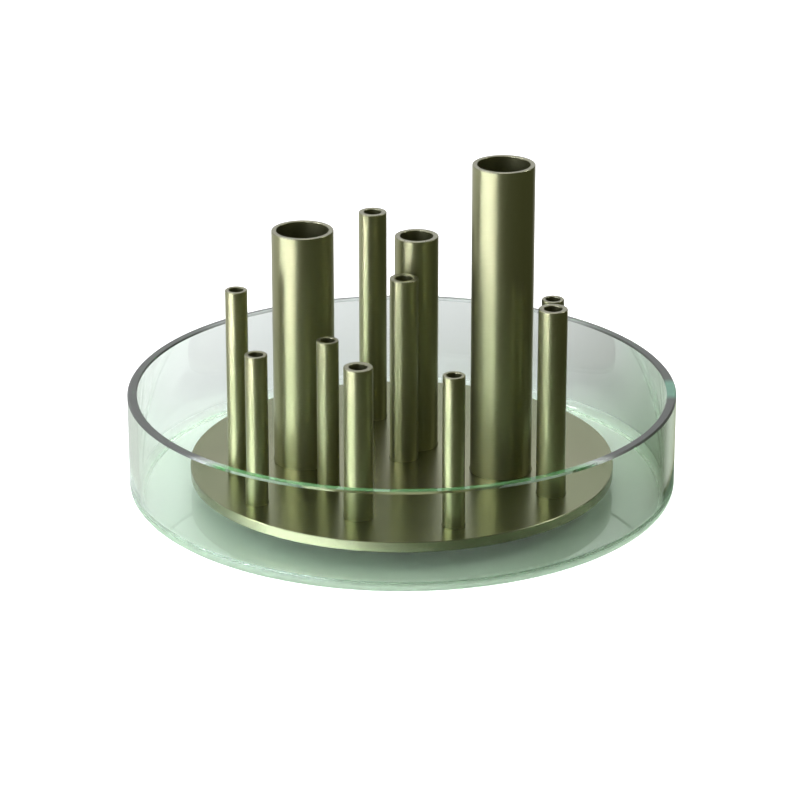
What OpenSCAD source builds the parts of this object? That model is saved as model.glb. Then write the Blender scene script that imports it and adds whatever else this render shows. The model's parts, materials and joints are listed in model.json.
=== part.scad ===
// Low round glass bowl with a metal flower holder that lifts out: a disc on four feet that carries
// twelve open tubes. Origin at the middle of the bowl's underside, +Z up, millimetres.

/* [Bowl] */
// Outer diameter of the glass bowl
bowl_d = 250; // [235:1:300]
// Height of the bowl, from the table to its rim
bowl_h = 47.5; // [40:0.5:80]
// Thickness of the upright glass wall
wall_t = 4.4; // [3.2:0.1:6]
// Thickness of the glass floor
floor_t = 2.2; // [2:0.1:6]
// Outer radius where the wall turns into the floor
outer_corner_r = 5; // [2:0.5:10]
// Inner radius where the wall turns into the floor
inner_corner_r = 4; // [2:0.5:10]
// Bevel ground on the outer edge of the rim
rim_outer_bevel = 0.8; // [0.2:0.1:1.4]
// Bevel ground on the inner edge of the rim
rim_inner_bevel = 0.5; // [0.2:0.1:1.4]

/* [Plate] */
// Diameter of the metal plate
plate_d = 194; // [186:1:215]
// Thickness of the metal plate
plate_t = 4.8; // [4:0.1:8]
// Bevel on the two edges of the plate's rim
plate_bevel = 0.25; // [0.1:0.05:0.8]
// Height of the gap between the bowl's floor and the plate
plate_gap = 6; // [3:0.1:10]
// Depth of the seat that each tube stands in
seat_depth = 2; // [1:0.1:3]
// Radial clearance of a tube in its seat
seat_clearance = 0.05; // [0.02:0.01:0.1]
// Bevel round the mouth of each seat
seat_bevel = 0.3; // [0.1:0.05:0.4]

/* [Feet] */
// Diameter of each rubber foot
foot_d = 12; // [8:0.5:16]
// Depth of the recess that each foot is glued into
foot_recess = 0.8; // [0.4:0.1:1.4]
// Distance from the plate's edge to the middle of a foot
foot_inset = 24; // [20:0.5:28]
// Radius on the lower edge of a foot
foot_edge_r = 0.8; // [0.3:0.1:1.2]
// Clearance between the feet and the glass floor
foot_clearance = 0.1; // [0.05:0.05:0.3]

/* [Tube sizes] */
// Outer diameter of the five thinnest tubes
thin_d = 10; // [8:0.5:13]
// Wall of the five thinnest tubes
thin_wall = 1.75; // [1:0.25:2.25]
// Outer diameter of the four slim tubes
slim_d = 13; // [10:0.5:16]
// Wall of the four slim tubes
slim_wall = 2.5; // [1:0.25:3]
// Outer diameter of the medium tube
medium_d = 20; // [16:0.5:24]
// Wall of the medium tube
medium_wall = 2.5; // [1:0.25:4]
// Outer diameter of the two wide tubes
wide_d = 28; // [24:0.5:34]
// Wall of the two wide tubes
wide_wall = 2.25; // [1:0.25:4]
// Bevel on the inner and outer edges of each tube's mouth
mouth_bevel = 0.4; // [0.2:0.05:0.45]
// Gap between the two pairs of tubes that nearly touch
pair_gap = 1.2; // [0.5:0.1:3]

/* [Tube heights above the plate] */
// Height of the four shortest tubes
short_h = 69.5; // [40:0.5:120]
// Height of the four tubes of middle height
middle_h = 87; // [50:0.5:140]
// Height of the two tall tubes at the back
tall_h = 101.5; // [60:0.5:160]
// Height of the left wide tube
wide_left_h = 110.5; // [60:0.5:170]
// Height of the right wide tube, the highest
wide_right_h = 145; // [80:0.5:200]

/* [Hidden] */
$fn = 120;

// Overrun that carries a cutting shape past the face it cuts
overrun = 1;
bowl_r = bowl_d / 2;
plate_r = plate_d / 2;
plate_bottom_z = floor_t + plate_gap;
plate_top_z = plate_bottom_z + plate_t;
seat_floor_z = plate_top_z - seat_depth;
foot_count = 4;
first_foot_angle = 45;
foot_bottom_z = floor_t + foot_clearance;
foot_ring_r = plate_r - foot_inset;

glass_tint = [0.70, 0.86, 0.76, 0.35];
satin_olive = [0.55, 0.56, 0.38];
dark_rubber = [0.13, 0.13, 0.13];

// A place on the plate, given in shares of the plate's radius from its middle
function at(share) = plate_r * share;

// Where a tube stands that keeps the pair gap to a neighbour, in the given direction from it
function beside(neighbour, direction, d1, d2) =
    neighbour + ((d1 + d2) / 2 + pair_gap) * [cos(direction), sin(direction)];

centre_place = at([0.01, 0]);
right_front_place = at([0.686, -0.423]);

// Each tube: place on the plate, outer diameter, wall, height above the plate; left to right
TUBES = [
    [at([-0.763, -0.165]), thin_d, thin_wall, middle_h],
    [at([-0.66, -0.531]), thin_d, thin_wall, short_h],
    [at([-0.459, -0.021]), wide_d, wide_wall, wide_left_h],
    [at([-0.34, -0.345]), thin_d, thin_wall, short_h],
    [at([-0.196, -0.691]), slim_d, slim_wall, short_h],
    [at([-0.139, 0.531]), slim_d, slim_wall, tall_h],
    [centre_place, slim_d, slim_wall, middle_h],
    [beside(centre_place, 71, slim_d, medium_d), medium_d, medium_wall, tall_h],
    [at([0.232, -0.794]), thin_d, thin_wall, short_h],
    [at([0.464, -0.144]), wide_d, wide_wall, wide_right_h],
    [beside(right_front_place, 88, slim_d, thin_d), thin_d, thin_wall, middle_h],
    [right_front_place, slim_d, slim_wall, middle_h]
];

function place(tube) = tube[0];
function outer_r(tube) = tube[1] / 2;
function bore_r(tube) = tube[1] / 2 - tube[2];
function height(tube) = tube[3];

// Half section of a round-cornered vessel or block, from the axis out to r and from z = 0 up to h
module rounded_section(r, h, corner_r) {
    translate([0, corner_r])
        square([r, h - corner_r]);
    square([r - corner_r, h]);
    translate([r - corner_r, corner_r])
        circle(corner_r);
}

module bowl() {
    inner_r = bowl_r - wall_t;
    color(glass_tint)
        rotate_extrude()
            difference() {
                intersection() {
                    rounded_section(bowl_r, bowl_h, outer_corner_r);
                    square([bowl_r, bowl_h]);
                }
                translate([0, floor_t])
                    intersection() {
                        rounded_section(inner_r, bowl_h, inner_corner_r);
                        square([inner_r, bowl_h]);
                    }
                polygon([
                    [bowl_r - rim_outer_bevel, bowl_h],
                    [bowl_r - rim_outer_bevel, bowl_h + overrun],
                    [bowl_r + overrun, bowl_h + overrun],
                    [bowl_r + overrun, bowl_h - rim_outer_bevel],
                    [bowl_r, bowl_h - rim_outer_bevel]
                ]);
                polygon([
                    [inner_r + rim_inner_bevel, bowl_h],
                    [inner_r + rim_inner_bevel, bowl_h + overrun],
                    [inner_r - overrun, bowl_h + overrun],
                    [inner_r - overrun, bowl_h - rim_inner_bevel],
                    [inner_r, bowl_h - rim_inner_bevel]
                ]);
            }
}

// Disc from z = 0 to h with a bevel on both edges
module bevelled_disc(r, h, bevel) {
    cylinder(r1 = r - bevel, r2 = r, h = bevel);
    translate([0, 0, bevel])
        cylinder(r = r, h = h - 2 * bevel);
    translate([0, 0, h - bevel])
        cylinder(r1 = r, r2 = r - bevel, h = bevel);
}

// Seat with a bevelled mouth, and the water hole that carries the tube's bore through the plate
module seat_cut(tube) {
    seat_r = outer_r(tube) + seat_clearance;
    translate(concat(place(tube), seat_floor_z))
        cylinder(r = seat_r, h = seat_depth + overrun);
    translate(concat(place(tube), plate_top_z - seat_bevel))
        cylinder(r1 = seat_r, r2 = seat_r + seat_bevel + overrun, h = seat_bevel + overrun);
    translate(concat(place(tube), plate_bottom_z - overrun))
        cylinder(r = bore_r(tube), h = plate_t + 2 * overrun);
}

module at_foot(k) {
    rotate(first_foot_angle + 360 / foot_count * k)
        translate([foot_ring_r, 0, 0])
            children();
}

module plate() {
    color(satin_olive)
        difference() {
            translate([0, 0, plate_bottom_z])
                bevelled_disc(plate_r, plate_t, plate_bevel);
            for (tube = TUBES)
                seat_cut(tube);
            for (k = [0 : foot_count - 1])
                at_foot(k)
                    translate([0, 0, plate_bottom_z - overrun])
                        cylinder(r = foot_d / 2 + seat_clearance, h = foot_recess + overrun);
        }
}

module foot(k) {
    foot_h = plate_bottom_z + foot_recess - foot_bottom_z;
    color(dark_rubber)
        at_foot(k)
            translate([0, 0, foot_bottom_z])
                rotate_extrude($fn = 60)
                    intersection() {
                        rounded_section(foot_d / 2, foot_h, foot_edge_r);
                        square([foot_d / 2, foot_h]);
                    }
}

module tube(number) {
    tube = TUBES[number - 1];
    length = height(tube) + seat_depth;
    color(satin_olive)
        translate(concat(place(tube), seat_floor_z))
            difference() {
                bevelled_disc(outer_r(tube), length, mouth_bevel);
                translate([0, 0, -overrun])
                    cylinder(r = bore_r(tube), h = length + 2 * overrun);
                translate([0, 0, length - mouth_bevel])
                    cylinder(r1 = bore_r(tube), r2 = bore_r(tube) + mouth_bevel + overrun,
                             h = mouth_bevel + overrun);
            }
}

bowl();
plate();
foot(0);  // foot_1
foot(1);  // foot_2
foot(2);  // foot_3
foot(3);  // foot_4
tube(1);  // tube_1
tube(2);  // tube_2
tube(3);  // tube_3
tube(4);  // tube_4
tube(5);  // tube_5
tube(6);  // tube_6
tube(7);  // tube_7
tube(8);  // tube_8
tube(9);  // tube_9
tube(10);  // tube_10
tube(11);  // tube_11
tube(12);  // tube_12
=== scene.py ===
import json
import math

import bmesh
import bpy
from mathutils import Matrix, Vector

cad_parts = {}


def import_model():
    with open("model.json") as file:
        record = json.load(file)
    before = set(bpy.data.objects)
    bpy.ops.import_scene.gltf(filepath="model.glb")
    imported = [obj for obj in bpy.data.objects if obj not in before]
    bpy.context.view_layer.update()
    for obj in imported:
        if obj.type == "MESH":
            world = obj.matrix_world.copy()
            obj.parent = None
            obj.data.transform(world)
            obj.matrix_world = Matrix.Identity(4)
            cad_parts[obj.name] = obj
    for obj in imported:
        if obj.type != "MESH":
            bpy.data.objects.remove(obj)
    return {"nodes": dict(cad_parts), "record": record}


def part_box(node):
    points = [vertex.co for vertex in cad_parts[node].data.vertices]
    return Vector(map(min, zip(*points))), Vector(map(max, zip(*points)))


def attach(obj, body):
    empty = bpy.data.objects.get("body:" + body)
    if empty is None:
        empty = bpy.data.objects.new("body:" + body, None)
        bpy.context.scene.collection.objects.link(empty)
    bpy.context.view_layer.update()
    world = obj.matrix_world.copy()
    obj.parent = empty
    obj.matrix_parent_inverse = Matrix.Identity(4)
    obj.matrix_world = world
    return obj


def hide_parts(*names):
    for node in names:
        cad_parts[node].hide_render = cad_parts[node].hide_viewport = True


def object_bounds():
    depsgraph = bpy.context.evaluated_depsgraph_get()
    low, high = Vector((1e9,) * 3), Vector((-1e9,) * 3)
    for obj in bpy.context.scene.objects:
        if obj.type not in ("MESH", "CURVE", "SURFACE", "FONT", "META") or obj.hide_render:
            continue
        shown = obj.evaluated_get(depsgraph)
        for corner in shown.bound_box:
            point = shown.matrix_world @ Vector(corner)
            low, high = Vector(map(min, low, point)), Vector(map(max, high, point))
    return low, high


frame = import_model()
cad_low, cad_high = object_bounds()

# Sizes are in metres, and colours are linear
WHITE = (1, 1, 1, 1)

# The glass bowl's shape
WALL_T = 0.0044
FLOOR_T = 0.0022
OUTER_CORNER_R = 0.005
INNER_CORNER_R = 0.004
RIM_OUTER_BEVEL = 0.0008
RIM_INNER_BEVEL = 0.0005
BOWL_SEGMENTS = 768
CORNER_STEPS = 24
# A ring this close to a rounded corner keeps the flat surface beside it free of its curved shading
SUPPORT_GAP = 0.0003

# The tubes' shape
MOUTH_BEVEL = 0.0004
TUBE_SEGMENTS = 128
BEVEL_STEPS = 4
TUBE_SUPPORT_GAP = 0.00005

SHARP_ANGLE = math.radians(30)
# A profile point this close to the axis becomes the middle of a disc
ON_AXIS = 1e-9

# The satin metal: colours, features of its grain per metre along X, Y and Z, and roughness
METAL_COLOUR = (0.31, 0.315, 0.172, 1)
METAL_DARK = (0.295, 0.30, 0.16, 1)
METAL_GRAIN = (1100, 1100, 9)
METAL_ROUGHNESS = 0.31
PLATE_COLOUR = (0.245, 0.25, 0.145, 1)
PLATE_DARK = (0.235, 0.24, 0.14, 1)
PLATE_GRAIN = (9, 1100, 1100)
PLATE_ROUGHNESS = 0.26
# The clouds are the grain enlarged: its features per metre times this
CLOUD_SHARE = 0.05
GRAIN_DETAIL = 3.0
# How much of the colour's change comes from the streaks and from the clouds
STREAK_WEIGHT = 0.25
CLOUD_WEIGHT = 0.75
# The part of the noise's range that the shading uses, for colour and for roughness
COLOUR_NOISE = (0.35, 0.65)
ROUGH_NOISE = (0.3, 0.7)
STREAK_ROUGHNESS = 0.002
CLOUD_ROUGHNESS = 0.008
GRAIN_BUMP = (0.01, 0.00005)

# The plate's turned edge: the colours of its painted highlight and painted shade, its width, and where
# along X the painted highlight rises and falls
PLATE_EDGE_HIGHLIGHT = (0.425, 0.405, 0.27, 1)
PLATE_EDGE_SHADE = (0.21, 0.205, 0.135, 1)
PLATE_EDGE_W = 0.0004
PLATE_HIGHLIGHT_RISE = (-0.078, -0.055)
PLATE_HIGHLIGHT_FALL = (-0.025, 0.03)

# The turned metal of the tubes' mouths: colours, features per metre, and roughness from worn to fresh
CUT_EDGE_COLOUR = (0.25, 0.25, 0.165, 1)
MOUTH_DARK = (0.20, 0.20, 0.13, 1)
MOUTH_WEAR = (700, 700, 700)
MOUTH_ROUGHNESS = (0.36, 0.26)

# The rubber of the feet
RUBBER_DARK = (0.018, 0.018, 0.018, 1)
RUBBER_PALE = (0.04, 0.04, 0.04, 1)
RUBBER_GRAIN = (900, 900, 900)
RUBBER_ROUGHNESS = (0.62, 0.8)
RUBBER_BUMP = (0.3, 0.0001)

# The clear glass
GLASS_IOR = 1.5
GLASS_COLOUR = (0.45, 0.77, 0.44, 1)
GLASS_DENSITY = 36.0
GLASS_LAMP_TINT = (0.86, 0.88, 0.86, 1)
# The ground underside and outer corner, and the height over which the grinding fades away up the wall
GROUND_ROUGHNESS = 0.5
GROUND_END = (0.003, 0.008)

# The ground rim, and where along Y it turns from clear at the front to grey
RIM_ROUGHNESS = 0.35
RIM_COLOUR = (0.035, 0.037, 0.033, 1)
RIM_CLEARNESS = 0.15
RIM_CHANGE = (-0.098, -0.082)
RIM_CLOUDS = (90, 90, 90)
RIM_CLOUD_RANGE = (0.85, 1.15)
# The rim at the back: its colours, where along Y they begin, and the width of the darker outer part
RIM_BACK_COLOUR = (0.15, 0.16, 0.148, 1)
RIM_INNER_COLOUR = (0.50, 0.53, 0.50, 1)
RIM_BACK = (0.065, 0.12)
RIM_BACK_W = 0.0028
# A painted teal glint on the rim's right side: its place along Y, and where its edge begins and ends
RIM_PAINTED_GLINT = (0.10, 0.27, 0.19, 1)
RIM_GLINT_Y = -0.003
RIM_GLINT_EDGE = (0.007, 0.013)

# The floor as the camera sees it
FLOOR_HALF = 3.0
FLOOR_Z = -0.0002
FLOOR_COLOUR = (0.80, 0.80, 0.80, 1)
FLOOR_GLOW = 0.60
FLOOR_ROUGHNESS = 0.9
# The table's painted light and shade under the glass, in its colour and its glow: its level in the middle,
# and its rise per metre to the left and to the back
TABLE_MIDDLE = 0.45
TABLE_RISE = (-0.6, 2.1, 0.0)
# A further fall to the right and rise to the left, per cubic metre
TABLE_CURVE = -110.0
TABLE_RANGE = (0.15, 1.2)
TABLE_ALBEDO = 0.64
TABLE_GLOW = 0.03
# The dim part of the table's painted shade is tinted, and the tint is gone at the upper of these levels
TABLE_TINT = (0.77, 1.0, 0.74, 1)
TINTED_LEVELS = (0.25, 0.6)
# The metal mirrors the open studio beyond this radius, shaded near the vase and clear from further away
NEAR_FLOOR_R = 0.135
NEAR_FLOOR_SHADE = (0.45, 0.47, 0.30, 1)
FAR_FLOOR_RANGE = (0.12, 0.40)

# The studio: a backdrop behind and to the left, a room in front and to the right, a table below
AMBIENT = (0.30, 0.30, 0.30, 1)
ROOM_LIGHT = (0.10, 0.105, 0.055, 1)
BACKDROP_LIGHT = (1.05, 1.05, 1.08, 1)
BACKDROP_SIDE = (-0.42, 0.91, 0.0)
BACKDROP_RANGE = (0.40, 0.65)
TABLE_LIGHT = (0.77, 0.77, 0.77, 1)
HORIZON = (-0.05, 0.05)
# The studio seen through the glass, from the left to the right of the view
THROUGH_GLASS = (-0.06, 0.06, 1.25, 0.62)

# Each lamp's name, place, aim, width and height, watts, colour, and whether sharp glass mirrors it
LAMPS = (
    ("key", (-0.933, -0.583, -0.35), (0, 0, -0.35), (1.27, 1.9), 26, (0.97, 0.975, 1.16), False),
    ("top", (-0.1, 0.2, 1.2), (0, 0, 0), (0.8, 0.8), 6.5, (1, 1, 1), True),
    ("high_key", (-0.82, -0.51, 0.58), (0, 0, 0.05), (1.2, 0.55), 8.8, (0.97, 0.975, 1.12), False),
    ("glint_right", (0.84, 0.18, 0.83), (0, 0, 0), (0.16, 0.16), 3.5, (1, 1, 1), True),
    ("glint_left", (-0.84, 0.18, 0.83), (0, 0, 0), (0.16, 0.16), 2.5, (1, 1, 1), True),
)

# The photo's camera: its place, its tilt below the horizon, and its focal length in pixels
FRAME_PX = 800
FOCAL_PX = 3447.3
CAMERA_PLACE = (-0.00081, -1.46781, 0.61223)
CAMERA_TILT = math.radians(21.267)
CAMERA_CLIP = (0.05, 20)
SENSOR_MM = 36.0

MAX_BOUNCES = 24
GLASS_BOUNCES = 16


def material(name):
    """A new node material, with its tree, its output and its Principled shader."""
    m = bpy.data.materials.new(name)
    m.use_nodes = True
    tree = m.node_tree
    return m, tree, tree.nodes["Material Output"], tree.nodes["Principled BSDF"]


def add(tree, kind, **settings):
    """A node of that kind, with its properties and input values set."""
    node = tree.nodes.new(kind)
    for key, value in settings.items():
        if key.startswith("in_"):
            node.inputs[key[3:].replace("_", " ")].default_value = value
        else:
            setattr(node, key, value)
    return node


def link(tree, side, socket):
    """Puts a value, a colour or another node's output into a socket."""
    if isinstance(side, bpy.types.NodeSocket):
        tree.links.new(side, socket)
    else:
        socket.default_value = side


def maths(tree, operation, a, b=0.0):
    """The output of a Math node, whose two sides are numbers or outputs."""
    node = add(tree, "ShaderNodeMath", operation=operation)
    link(tree, a, node.inputs[0])
    link(tree, b, node.inputs[1])
    return node.outputs[0]


def vector_maths(tree, operation, a, b=(0, 0, 0)):
    """A Vector Math node, whose two sides are vectors or outputs."""
    node = add(tree, "ShaderNodeVectorMath", operation=operation)
    link(tree, a, node.inputs[0])
    link(tree, b, node.inputs[1])
    return node


def scaled(tree, colour, factor):
    """A colour times a number, both outputs."""
    node = add(tree, "ShaderNodeVectorMath", operation="SCALE")
    tree.links.new(colour, node.inputs[0])
    tree.links.new(factor, node.inputs["Scale"])
    return node.outputs[0]


def mix_colour(tree, factor, low, high):
    """The output of a colour mix, whose sides are colours or outputs."""
    node = add(tree, "ShaderNodeMix", data_type="RGBA")
    tree.links.new(factor, node.inputs[0])
    link(tree, low, node.inputs[6])
    link(tree, high, node.inputs[7])
    return node.outputs[2]


def mix_value(tree, factor, low, high):
    """The output of a number mix, whose sides are numbers or outputs."""
    node = add(tree, "ShaderNodeMix", data_type="FLOAT")
    tree.links.new(factor, node.inputs[0])
    link(tree, low, node.inputs[2])
    link(tree, high, node.inputs[3])
    return node.outputs[0]


def mix_shader(tree, factor, low, high):
    """The output of a shader mix."""
    node = add(tree, "ShaderNodeMixShader")
    tree.links.new(factor, node.inputs[0])
    tree.links.new(low, node.inputs[1])
    tree.links.new(high, node.inputs[2])
    return node.outputs[0]


def rescale(tree, value, from_low, from_high, to_low=0.0, to_high=1.0, smooth=False):
    """A value carried from one range to another and held inside it."""
    node = add(tree, "ShaderNodeMapRange")
    if smooth:
        node.interpolation_type = "SMOOTHSTEP"
    tree.links.new(value, node.inputs["Value"])
    ends = {"From Min": from_low, "From Max": from_high, "To Min": to_low, "To Max": to_high}
    for key, end in ends.items():
        node.inputs[key].default_value = end
    return node.outputs["Result"]


def split_xyz(tree, vector):
    """The three outputs of a vector's parts."""
    node = add(tree, "ShaderNodeSeparateXYZ")
    tree.links.new(vector, node.inputs[0])
    return node.outputs


def on_object(tree):
    """The place on the object, in its own coordinates."""
    return add(tree, "ShaderNodeTexCoord").outputs["Object"]


def from_axis(tree, place):
    """How far a place lies from the upright axis."""
    flat = vector_maths(tree, "MULTIPLY", place, (1, 1, 0))
    return vector_maths(tree, "LENGTH", flat.outputs[0]).outputs["Value"]


def noise(tree, spread, detail=2.0):
    """Noise over the object, with the given number of features per metre along X, Y and Z."""
    stretch = vector_maths(tree, "MULTIPLY", on_object(tree), spread)
    node = add(tree, "ShaderNodeTexNoise", in_Scale=1.0, in_Detail=detail)
    tree.links.new(stretch.outputs[0], node.inputs["Vector"])
    return node.outputs["Fac"]


def bump(tree, height, strength, distance, bsdf):
    """Raises the surface of a shader by a height from 0 to 1 times the distance."""
    node = add(tree, "ShaderNodeBump", in_Strength=strength, in_Distance=distance)
    tree.links.new(height, node.inputs["Height"])
    tree.links.new(node.outputs[0], bsdf.inputs["Normal"])


def turned_edge(tree, face_colour, edge_r):
    """The face's colour, and on the edge at that radius a painted highlight at the front left and painted
    shade towards both sides.
    """
    place = on_object(tree)
    at_edge = rescale(tree, from_axis(tree, place), edge_r - PLATE_EDGE_W, edge_r - PLATE_EDGE_W / 2)
    # Painted highlight at the front left, and painted shade towards both sides
    x = split_xyz(tree, place)["X"]
    painted_highlight = maths(tree, "MULTIPLY", rescale(tree, x, *PLATE_HIGHLIGHT_RISE, smooth=True),
                   rescale(tree, x, *PLATE_HIGHLIGHT_FALL, 1.0, 0.0, smooth=True))
    edge_painted_light = mix_colour(tree, painted_highlight, PLATE_EDGE_SHADE, PLATE_EDGE_HIGHLIGHT)
    return mix_colour(tree, at_edge, face_colour, edge_painted_light)


def satin_metal(name, grain, roughness, dark, light, edge_r=None):
    """Satin olive-champagne metal with a fine grain, and a painted highlight and painted shade on the edge
    at the radius edge_r.
    """
    m, tree, _, bsdf = material(name)
    bsdf.inputs["Metallic"].default_value = 1.0
    streaks = noise(tree, grain, GRAIN_DETAIL)
    clouds = noise(tree, [along * CLOUD_SHARE for along in grain], GRAIN_DETAIL)
    pattern = maths(tree, "ADD", maths(tree, "MULTIPLY", streaks, STREAK_WEIGHT),
                    maths(tree, "MULTIPLY", clouds, CLOUD_WEIGHT))
    colour = mix_colour(tree, rescale(tree, pattern, *COLOUR_NOISE), dark, light)
    # On the edge, a painted highlight and painted shade
    if edge_r:
        colour = turned_edge(tree, colour, edge_r)
    tree.links.new(colour, bsdf.inputs["Base Color"])
    uneven = maths(tree, "ADD", rescale(tree, streaks, *ROUGH_NOISE, -STREAK_ROUGHNESS, STREAK_ROUGHNESS),
                   rescale(tree, clouds, *ROUGH_NOISE, -CLOUD_ROUGHNESS, CLOUD_ROUGHNESS))
    tree.links.new(maths(tree, "ADD", uneven, roughness), bsdf.inputs["Roughness"])
    bump(tree, streaks, *GRAIN_BUMP, bsdf)
    return m


def cut_edge():
    """The brighter metal of the turned edges at the tubes' mouths."""
    m, tree, _, bsdf = material("turned_edge")
    bsdf.inputs["Metallic"].default_value = 1.0
    wear = noise(tree, MOUTH_WEAR)
    tree.links.new(mix_colour(tree, rescale(tree, wear, *COLOUR_NOISE), MOUTH_DARK, CUT_EDGE_COLOUR),
                   bsdf.inputs["Base Color"])
    tree.links.new(rescale(tree, wear, *ROUGH_NOISE, *MOUTH_ROUGHNESS), bsdf.inputs["Roughness"])
    return m


def rubber():
    """Dark rubber with a fine matt grain."""
    m, tree, _, bsdf = material("foot_rubber")
    skin = noise(tree, RUBBER_GRAIN, GRAIN_DETAIL)
    tree.links.new(mix_colour(tree, skin, RUBBER_DARK, RUBBER_PALE), bsdf.inputs["Base Color"])
    tree.links.new(rescale(tree, skin, *ROUGH_NOISE, *RUBBER_ROUGHNESS), bsdf.inputs["Roughness"])
    bump(tree, skin, *RUBBER_BUMP, bsdf)
    return m


def rim_colour(tree, x, y, radius):
    """The grey of the ground rim, slightly cloudy, paler at the back, with a painted teal glint on the
    right.
    """
    # Towards the back the grey is paler, and palest on the rim's inner half
    back = rescale(tree, y, *RIM_BACK, smooth=True)
    inner = maths(tree, "LESS_THAN", radius, cad_high.x - RIM_BACK_W)
    grey = mix_colour(tree, back, RIM_COLOUR, mix_colour(tree, inner, RIM_BACK_COLOUR, RIM_INNER_COLOUR))
    # A painted teal glint on the right side
    from_glint = maths(tree, "ABSOLUTE", maths(tree, "SUBTRACT", y, RIM_GLINT_Y))
    off_glint = maths(tree, "MAXIMUM", rescale(tree, from_glint, *RIM_GLINT_EDGE),
                     maths(tree, "LESS_THAN", x, 0.0))
    cloud = rescale(tree, noise(tree, RIM_CLOUDS), *ROUGH_NOISE, *RIM_CLOUD_RANGE)
    return scaled(tree, mix_colour(tree, off_glint, RIM_PAINTED_GLINT, grey), cloud)


def bowl_glass():
    """Clear green glass, whose tint is in its depth, with a ground underside and a ground rim.

    It is one material, because Cycles loses track of the glass's depth where two meet on one piece."""
    m, tree, out, bsdf = material("bowl_glass")
    place = on_object(tree)
    x, y, z = split_xyz(tree, place)
    radius = from_axis(tree, place)
    outside = maths(tree, "GREATER_THAN", radius, cad_high.x - WALL_T + SUPPORT_GAP)
    corner = maths(tree, "MULTIPLY", rescale(tree, z, *GROUND_END, 1.0, 0.0, smooth=True), outside)
    ground = maths(tree, "MAXIMUM", maths(tree, "LESS_THAN", z, FLOOR_T / 4), corner)
    rim_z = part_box("bowl")[1].z - RIM_OUTER_BEVEL
    rim = maths(tree, "MULTIPLY", maths(tree, "GREATER_THAN", z, rim_z),
                rescale(tree, y, *RIM_CHANGE, smooth=True))
    bsdf.inputs["IOR"].default_value = GLASS_IOR
    tree.links.new(mix_colour(tree, rim, WHITE, rim_colour(tree, x, y, radius)), bsdf.inputs["Base Color"])
    tree.links.new(rescale(tree, rim, 0.0, 1.0, 1.0, RIM_CLEARNESS), bsdf.inputs["Transmission Weight"])
    roughness = maths(tree, "MAXIMUM", maths(tree, "MULTIPLY", ground, GROUND_ROUGHNESS),
                      maths(tree, "MULTIPLY", rim, RIM_ROUGHNESS))
    tree.links.new(roughness, bsdf.inputs["Roughness"])
    absorb = add(tree, "ShaderNodeVolumeAbsorption", in_Color=GLASS_COLOUR, in_Density=GLASS_DENSITY)
    tree.links.new(absorb.outputs["Volume"], out.inputs["Volume"])
    # Rays from lamps pass the glass unbent, so that what stands in it and under it is lit
    path = add(tree, "ShaderNodeLightPath")
    clear = add(tree, "ShaderNodeBsdfTransparent", in_Color=GLASS_LAMP_TINT)
    final = mix_shader(tree, path.outputs["Is Shadow Ray"], bsdf.outputs[0], clear.outputs[0])
    tree.links.new(final, out.inputs["Surface"])
    return m


def arc(centre_r, centre_z, radius, start, end, steps):
    """Points on an arc of the profile, angles in degrees from the outward direction."""
    points = []
    for k in range(steps + 1):
        a = math.radians(start + (end - start) * k / steps)
        points.append((centre_r + radius * math.cos(a), centre_z + radius * math.sin(a)))
    return points


def lathe(name, profile, segments, centre=(0, 0), second=(), closed=False):
    """A piece turned about an upright axis at the centre, from profile points (radius, height).

    The stretches of the profile numbered in second take the second material."""
    bm = bmesh.new()
    rings = []
    turns = [2 * math.pi * k / segments for k in range(segments)]
    for r, z in profile:
        if r < ON_AXIS:
            rings.append([bm.verts.new((centre[0], centre[1], z))])
        else:
            rings.append([bm.verts.new((centre[0] + r * math.cos(a), centre[1] + r * math.sin(a), z))
                          for a in turns])
    if closed:
        rings.append(rings[0])
    for stretch, (low, high) in enumerate(zip(rings, rings[1:])):
        for k in range(segments):
            n = (k + 1) % segments
            if len(low) == 1:
                face = bm.faces.new((low[0], high[n], high[k]))
            elif len(high) == 1:
                face = bm.faces.new((low[k], low[n], high[0]))
            else:
                face = bm.faces.new((low[k], low[n], high[n], high[k]))
            face.material_index = int(stretch in second)
    bmesh.ops.recalc_face_normals(bm, faces=bm.faces)
    mesh = bpy.data.meshes.new(name)
    bm.to_mesh(mesh)
    bm.free()
    obj = bpy.data.objects.new(name, mesh)
    bpy.context.scene.collection.objects.link(obj)
    for polygon in mesh.polygons:
        polygon.use_smooth = True
    mesh.set_sharp_from_angle(angle=SHARP_ANGLE)
    return obj


def glass_bowl():
    """The bowl in one closed skin, from the middle of its inside to the middle of its underside."""
    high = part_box("bowl")[1]
    outer_r, top = high.x, high.z
    inner_r = outer_r - WALL_T
    inner_corner = arc(inner_r - INNER_CORNER_R, FLOOR_T + INNER_CORNER_R, INNER_CORNER_R,
                       -90, 0, CORNER_STEPS)
    outer_corner = arc(outer_r - OUTER_CORNER_R, OUTER_CORNER_R, OUTER_CORNER_R,
                       0, -90, CORNER_STEPS)
    profile = (
        [(0, FLOOR_T), (inner_corner[0][0] - SUPPORT_GAP, FLOOR_T)]
        + inner_corner
        + [(inner_r, inner_corner[-1][1] + SUPPORT_GAP)]
        + [(inner_r, top - RIM_INNER_BEVEL), (inner_r + RIM_INNER_BEVEL, top)]
        + [(outer_r - RIM_OUTER_BEVEL, top), (outer_r, top - RIM_OUTER_BEVEL)]
        + [(outer_r, outer_corner[0][1] + SUPPORT_GAP)]
        + outer_corner
        + [(outer_corner[-1][0] - SUPPORT_GAP, 0), (0, 0)]
    )
    return lathe("glass_bowl", profile, BOWL_SEGMENTS)


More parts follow.
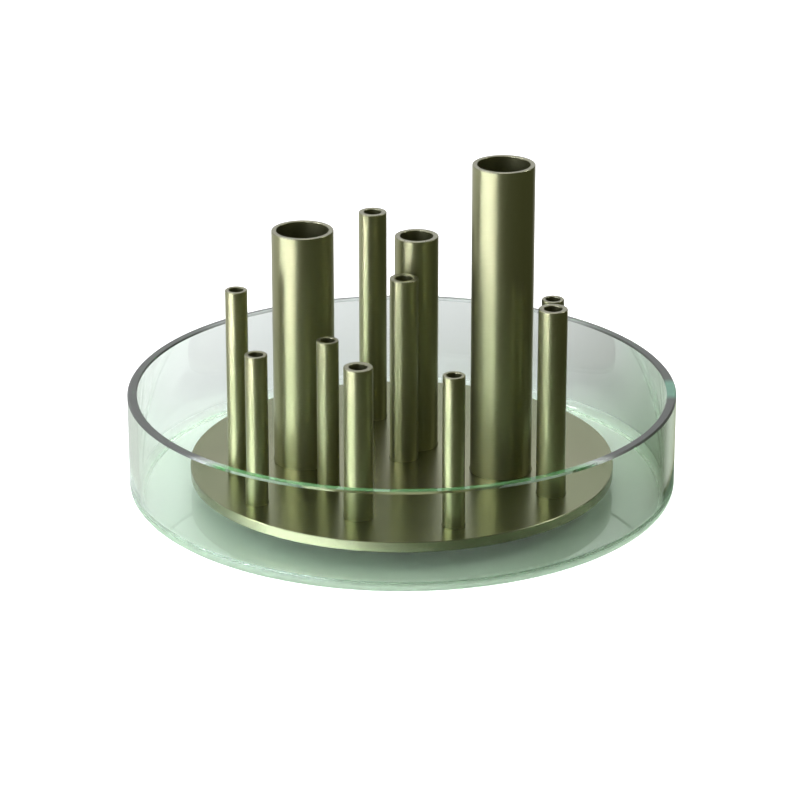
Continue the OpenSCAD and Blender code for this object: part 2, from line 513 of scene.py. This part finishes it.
def tube(number, bore_r):
    """One open tube of the flower holder, with softly broken edges at its mouth."""
    low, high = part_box("tube_%d" % number)
    centre = ((low.x + high.x) / 2, (low.y + high.y) / 2)
    outer_r = (high.x - low.x) / 2
    b, g = MOUTH_BEVEL, TUBE_SUPPORT_GAP
    top, bottom = high.z, low.z
    outside = [(bore_r, bottom), (outer_r - b, bottom), (outer_r, bottom + b), (outer_r, top - b - g)]
    mouth = (
        arc(outer_r - b, top - b, b, 0, 90, BEVEL_STEPS)
        + [(outer_r - b - g, top), (bore_r + b + g, top)]
        + arc(bore_r + b, top - b, b, 90, 180, BEVEL_STEPS)
    )
    profile = outside + mouth + [(bore_r, top - b - g)]
    turned = range(len(outside), len(outside) + len(mouth))
    piece = lathe("metal_tube_%d" % number, profile, TUBE_SEGMENTS, centre, turned, True)
    piece.data.materials.append(tube_metal)
    piece.data.materials.append(mouth_metal)
    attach(piece, "flower_holder")
    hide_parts("tube_%d" % number)


def camera():
    """The camera that took the photo, as far as the photo shows it."""
    data = bpy.data.cameras.new("photo_camera")
    data.sensor_width = SENSOR_MM
    data.lens = FOCAL_PX / FRAME_PX * SENSOR_MM
    data.clip_start, data.clip_end = CAMERA_CLIP
    obj = bpy.data.objects.new("photo_camera", data)
    obj.location = CAMERA_PLACE
    obj.rotation_euler = (math.pi / 2 - CAMERA_TILT, 0, 0)
    bpy.context.scene.collection.objects.link(obj)
    bpy.context.scene.camera = obj


def area_light(name, place, aim, size, watts, colour, in_mirrors):
    """A rectangular lamp turned towards the aim."""
    data = bpy.data.lights.new(name, "AREA")
    data.shape = "RECTANGLE"
    data.size, data.size_y = size
    data.energy = watts
    data.color = colour
    data.cycles.use_multiple_importance_sampling = in_mirrors
    obj = bpy.data.objects.new(name, data)
    obj.location = place
    direction = Vector(aim) - Vector(place)
    obj.rotation_euler = direction.to_track_quat("-Z", "Y").to_euler()
    bpy.context.scene.collection.objects.link(obj)


def painted_table_light(tree, place):
    """The table's painted light under the glass, which falls off into painted shade to the front and to the
    right.
    """
    x = split_xyz(tree, place)["X"]
    along = vector_maths(tree, "DOT_PRODUCT", place, TABLE_RISE).outputs["Value"]
    cubed = maths(tree, "MULTIPLY", maths(tree, "POWER", maths(tree, "ABSOLUTE", x), 3.0),
                  maths(tree, "SIGN", x))
    slope = maths(tree, "ADD", along, maths(tree, "MULTIPLY", cubed, TABLE_CURVE))
    dimmest, brightest = TABLE_RANGE
    return rescale(tree, slope, dimmest - TABLE_MIDDLE, brightest - TABLE_MIDDLE, dimmest, brightest)


def floor_material():
    """Plain white to the camera, a table with painted light and shade through the glass, and mostly open to
    what mirrors it.
    """
    m, tree, out, bsdf = material("white_floor")
    bsdf.inputs["Roughness"].default_value = FLOOR_ROUGHNESS
    path = add(tree, "ShaderNodeLightPath").outputs
    place = on_object(tree)
    # Under the glass the table's colour and glow carry painted light and shade
    level = painted_table_light(tree, place)
    tint = mix_colour(tree, rescale(tree, level, *TINTED_LEVELS), TABLE_TINT, WHITE)
    table = scaled(tree, tint, maths(tree, "MULTIPLY", level, TABLE_ALBEDO))
    in_view = path["Is Camera Ray"]
    tree.links.new(mix_colour(tree, in_view, table, FLOOR_COLOUR), bsdf.inputs["Base Color"])
    glow = add(tree, "ShaderNodeEmission", in_Color=WHITE)
    strength = mix_value(tree, in_view, maths(tree, "MULTIPLY", level, TABLE_GLOW), FLOOR_GLOW)
    lit = maths(tree, "LESS_THAN", path["Diffuse Depth"], 0.5)
    tree.links.new(maths(tree, "MULTIPLY", strength, lit), glow.inputs["Strength"])
    both = add(tree, "ShaderNodeAddShader")
    tree.links.new(bsdf.outputs[0], both.inputs[0])
    tree.links.new(glow.outputs[0], both.inputs[1])
    # What the metal and the glass mirror is the studio itself, also below the floor's level
    distance = vector_maths(tree, "LENGTH", place).outputs["Value"]
    mirrored = maths(tree, "GREATER_THAN", path["Glossy Depth"], 0.5)
    beyond = maths(tree, "GREATER_THAN", distance, NEAR_FLOOR_R)
    # On the right the metal mirrors it darker near the vase, and through the glass it is never darker
    unshaded = maths(tree, "MAXIMUM", maths(tree, "GREATER_THAN", path["Transmission Depth"], 0.5),
                     maths(tree, "LESS_THAN", split_xyz(tree, place)["X"], 0.0))
    shade = maths(tree, "MAXIMUM", rescale(tree, distance, *FAR_FLOOR_RANGE), unshaded)
    open_floor = add(tree, "ShaderNodeBsdfTransparent")
    tree.links.new(mix_colour(tree, shade, NEAR_FLOOR_SHADE, WHITE), open_floor.inputs["Color"])
    opened = maths(tree, "MULTIPLY", mirrored, beyond)
    final = mix_shader(tree, opened, both.outputs[0], open_floor.outputs[0])
    tree.links.new(final, out.inputs["Surface"])
    return m


def floor():
    """The floor that the vase stands on, a little below it."""
    half = FLOOR_HALF
    mesh = bpy.data.meshes.new("floor")
    corners = [(-half, -half, 0), (half, -half, 0), (half, half, 0), (-half, half, 0)]
    mesh.from_pydata(corners, [], [(0, 1, 2, 3)])
    obj = bpy.data.objects.new("floor", mesh)
    obj.location.z = FLOOR_Z
    bpy.context.scene.collection.objects.link(obj)
    mesh.materials.append(floor_material())
    obj.visible_shadow = False


def world():
    """A studio with a white backdrop behind and to the left, and a dim room in front and to the right."""
    w = bpy.data.worlds.new("studio")
    w.use_nodes = True
    bpy.context.scene.world = w
    tree = w.node_tree
    path = add(tree, "ShaderNodeLightPath").outputs
    direction = add(tree, "ShaderNodeTexCoord").outputs["Generated"]
    side = split_xyz(tree, direction)
    facing = vector_maths(tree, "DOT_PRODUCT", direction, BACKDROP_SIDE).outputs["Value"]
    backdrop = mix_colour(tree, rescale(tree, side["Z"], *HORIZON), TABLE_LIGHT, BACKDROP_LIGHT)
    room = mix_colour(tree, rescale(tree, facing, *BACKDROP_RANGE, smooth=True), ROOM_LIGHT, backdrop)
    # Lamplight that a pale surface has scattered meets the dim level, and what is mirrored meets the studio
    mirrored = maths(tree, "GREATER_THAN", path["Glossy Depth"], 0.5)
    level = mix_colour(tree, mirrored, AMBIENT, room)
    in_view = maths(tree, "LESS_THAN", maths(tree, "ADD", path["Glossy Depth"], path["Diffuse Depth"]), 0.5)
    # Past the object it is plain white, and through the glass lighter on the left than on the right
    through = add(tree, "ShaderNodeCombineColor")
    grey = rescale(tree, side["X"], *THROUGH_GLASS)
    for channel in ("Red", "Green", "Blue"):
        tree.links.new(grey, through.inputs[channel])
    seen = mix_colour(tree, path["Is Camera Ray"], through.outputs[0], WHITE)
    tree.links.new(mix_colour(tree, in_view, level, seen), tree.nodes["Background"].inputs["Color"])


tube_metal = satin_metal("satin_tube", METAL_GRAIN, METAL_ROUGHNESS, METAL_DARK, METAL_COLOUR)
# The plate's metal carries a painted highlight and painted shade on its edge
plate_metal = satin_metal("satin_plate", PLATE_GRAIN, PLATE_ROUGHNESS, PLATE_DARK, PLATE_COLOUR,
                          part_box("plate")[1].x)
mouth_metal = cut_edge()
foot_rubber = rubber()
for name, node in frame["nodes"].items():
    if name == "plate":
        node.data.materials.clear()
        node.data.materials.append(plate_metal)
    if name.startswith("foot"):
        node.data.materials.clear()
        node.data.materials.append(foot_rubber)
for mount in frame["record"]["mounts"]:
    if mount["name"].startswith("stem_bore_"):
        tube(int(mount["name"].split("_")[-1]), mount["dims"]["r_mm"] / 1000)

bowl = glass_bowl()
bowl.data.materials.append(bowl_glass())
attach(bowl, "vessel")
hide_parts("bowl")

floor()
world()
camera()
for lamp in LAMPS:
    area_light(*lamp)

scene = bpy.context.scene
scene.cycles.max_bounces = MAX_BOUNCES
scene.cycles.glossy_bounces = GLASS_BOUNCES
scene.cycles.transmission_bounces = GLASS_BOUNCES
scene.view_settings.view_transform = "Standard"
